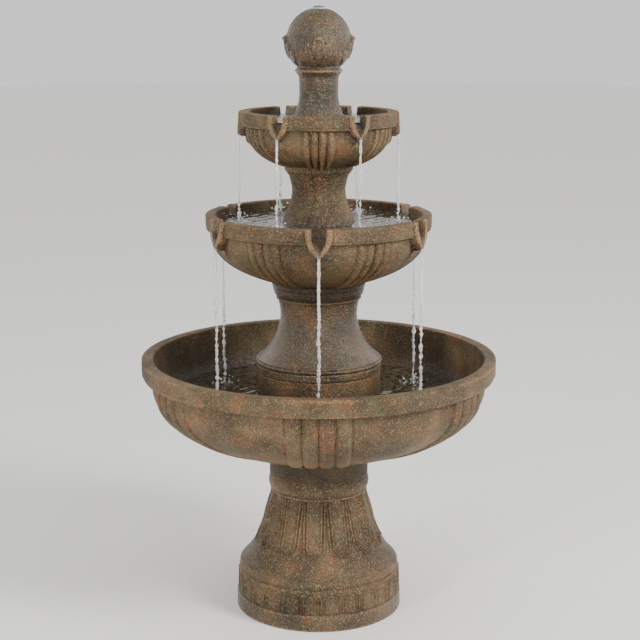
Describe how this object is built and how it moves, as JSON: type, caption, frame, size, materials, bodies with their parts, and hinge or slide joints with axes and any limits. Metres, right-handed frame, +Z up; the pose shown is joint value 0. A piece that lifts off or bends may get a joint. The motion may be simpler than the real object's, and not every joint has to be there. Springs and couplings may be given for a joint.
{
  "type": "tiered water fountain",
  "caption": "Round tiered garden fountain of stacked cast-stone bowls with spouts, hollow columns, a ball finial, a pump and a riser hose.",
  "frame": {"origin": "middle of the base, on the ground", "axes": "+Z up along the fountain's axis, front along -Y"},
  "size_m": [0.61, 0.6098, 1.0415],
  "materials": {
    "cast_stone": "cast stone with a pitted, antiqued brown patina",
    "bowl_stone": "cast stone, finer grained, antiqued brown with rust and tan edges",
    "stopper_rubber": "moulded black rubber",
    "hose_vinyl": "extruded translucent vinyl",
    "outlet_plastic": "moulded dark plastic",
    "clamp_steel": "stainless band",
    "pump_plastic": "moulded black ABS",
    "grille_plastic": "moulded black ABS",
    "dial_plastic": "moulded blue plastic",
    "impeller_plastic": "moulded white nylon",
    "core_iron": "stacked electrical steel",
    "coil_copper": "enamelled copper winding",
    "magnet_ferrite": "sintered ferrite",
    "shaft_ceramic": "ground alumina"
  },
  "bodies": {
    "base": {"base_pedestal": "cast_stone"},
    "basin": {"lower_bowl": "bowl_stone", "riser_hose": "hose_vinyl", "hose_clamp": "clamp_steel", "clamp_screw": "clamp_steel", "pump_body": "pump_plastic", "pump_feet": "stopper_rubber", "pump_back_plate": "pump_plastic", "cable_gland": "stopper_rubber", "stator_core": "core_iron", "stator_coils": "coil_copper", "pump_shaft": "shaft_ceramic", "front_bush": "stopper_rubber", "rear_bush": "stopper_rubber", "pump_cover": "pump_plastic", "seal_ring": "stopper_rubber", "outlet_barb": "pump_plastic"},
    "housing": {"pump_housing": "cast_stone"},
    "low_column": {"lower_column": "cast_stone"},
    "mid_bowl": {"middle_bowl": "bowl_stone"},
    "high_column": {"upper_column": "cast_stone"},
    "high_bowl": {"top_bowl": "bowl_stone"},
    "crown": {"finial": "cast_stone", "outlet_nozzle": "outlet_plastic"},
    "rotor": {"rotor_magnet": "magnet_ferrite", "impeller": "impeller_plastic"},
    "grille": {"intake_grille": "grille_plastic"},
    "dial": {"flow_dial": "dial_plastic"},
    "drain": {"drain_plug": "stopper_rubber"},
    "grommet": {"cord_grommet": "stopper_rubber"}
  },
  "joints": [
    {"name": "basin_lift", "type": "slide", "parent": "base", "child": "basin", "axis": [0, 0, 1], "range_m": [0, 0.1]},
    {"name": "housing_lift", "type": "slide", "parent": "basin", "child": "housing", "axis": [0, 0, 1], "range_m": [0, 0.73]},
    {"name": "low_column_lift", "type": "slide", "parent": "housing", "child": "low_column", "axis": [0, 0, 1], "range_m": [0, 0.6]},
    {"name": "mid_bowl_lift", "type": "slide", "parent": "low_column", "child": "mid_bowl", "axis": [0, 0, 1], "range_m": [0, 0.46]},
    {"name": "high_column_lift", "type": "slide", "parent": "mid_bowl", "child": "high_column", "axis": [0, 0, 1], "range_m": [0, 0.43]},
    {"name": "high_bowl_lift", "type": "slide", "parent": "high_column", "child": "high_bowl", "axis": [0, 0, 1], "range_m": [0, 0.26]},
    {"name": "crown_lift", "type": "slide", "parent": "high_bowl", "child": "crown", "axis": [0, 0, 1], "range_m": [0, 0.24]},
    {"name": "impeller_spin", "type": "hinge", "parent": "basin", "child": "rotor", "pos_m": [0, 0, 0.331], "axis": [0, 1, 0], "continuous": true},
    {"name": "grille_pull", "type": "slide", "parent": "basin", "child": "grille", "axis": [0, -1, 0], "range_m": [0, 0.03]},
    {"name": "dial_turn", "type": "hinge", "parent": "grille", "child": "dial", "pos_m": [0, -0.035, 0.331], "axis": [0, -1, 0], "range_deg": [0, 90]},
    {"name": "drain_pull", "type": "slide", "parent": "basin", "child": "drain", "axis": [0, 0, 1], "range_m": [0, 0.03]},
    {"name": "grommet_pull", "type": "slide", "parent": "basin", "child": "grommet", "axis": [0, 0, 1], "range_m": [0, 0.03]}
  ]
}
